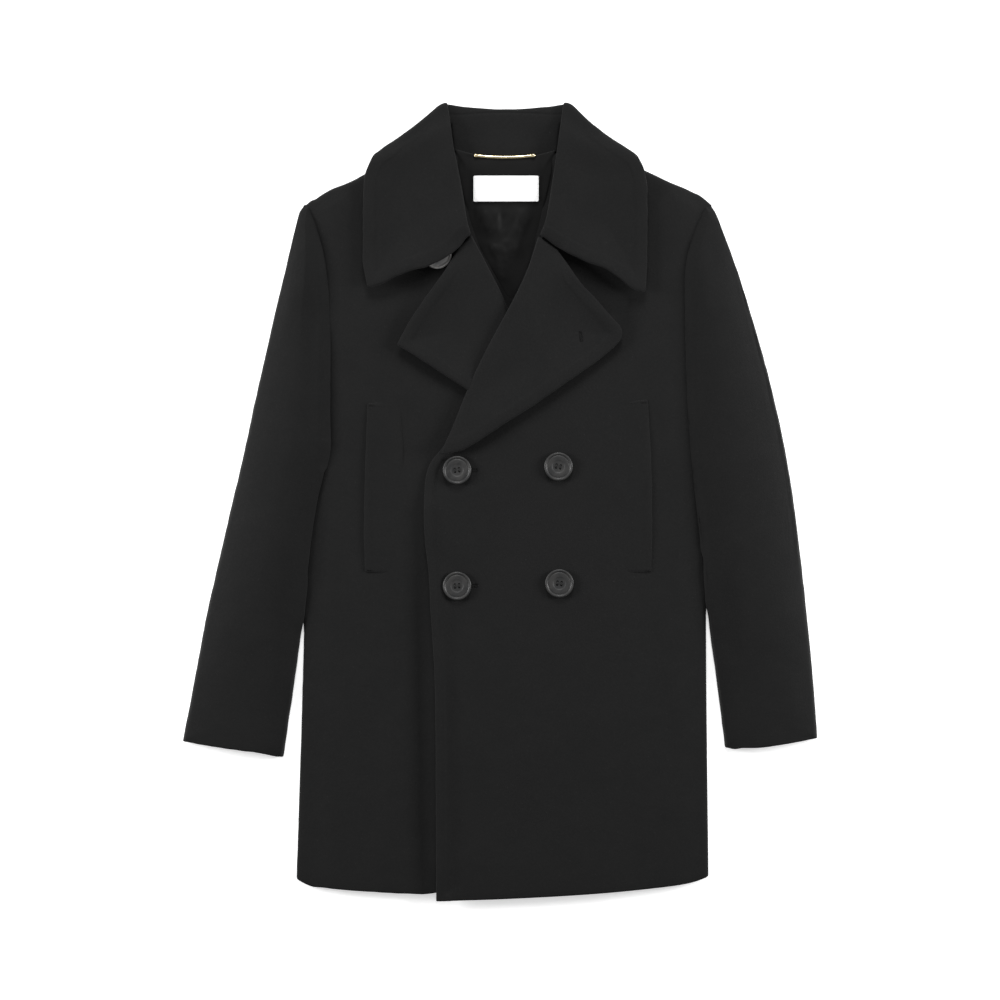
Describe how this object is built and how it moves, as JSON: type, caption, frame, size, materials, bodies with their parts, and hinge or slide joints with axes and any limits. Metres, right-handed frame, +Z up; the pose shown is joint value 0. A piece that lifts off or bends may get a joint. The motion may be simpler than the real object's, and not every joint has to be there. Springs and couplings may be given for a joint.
{
  "type": "pea coat",
  "caption": "Double-breasted short coat in heavy wool with a broad collar, peaked lapels and upright welt pockets, laid flat face up.",
  "frame": {"origin": "on the surface that the coat lies on, under the middle of its outline", "axes": "+X towards the wearer's left sleeve, +Y from the hem towards the collar, +Z up out of the face of the coat"},
  "size_m": [0.698, 0.8768, 0.0165],
  "materials": {
    "wool": "heavy milled wool, short nap, soft sheen",
    "satin": "smooth satin lining, soft gloss",
    "button_resin": "polished dark resin",
    "label_tape": "close woven tape",
    "gilt": "polished pale gold tone"
  },
  "bodies": {
    "root": {"back": "wool", "right_front": "wool", "left_front": "wool", "right_lapel": "wool", "left_lapel": "wool", "collar_fall": "wool", "collar_leaf_right": "wool", "collar_leaf_left": "wool", "collar_stand": "wool", "right_top_sleeve": "wool", "left_top_sleeve": "wool", "right_under_sleeve": "wool", "left_under_sleeve": "wool", "right_pocket_welt": "wool", "left_pocket_welt": "wool", "neck_lining": "satin", "neck_label": "label_tape", "hanger_bar": "gilt", "collar_button": "button_resin", "button_1": "button_resin", "button_2": "button_resin", "button_3": "button_resin", "button_4": "button_resin"}
  },
  "joints": []
}
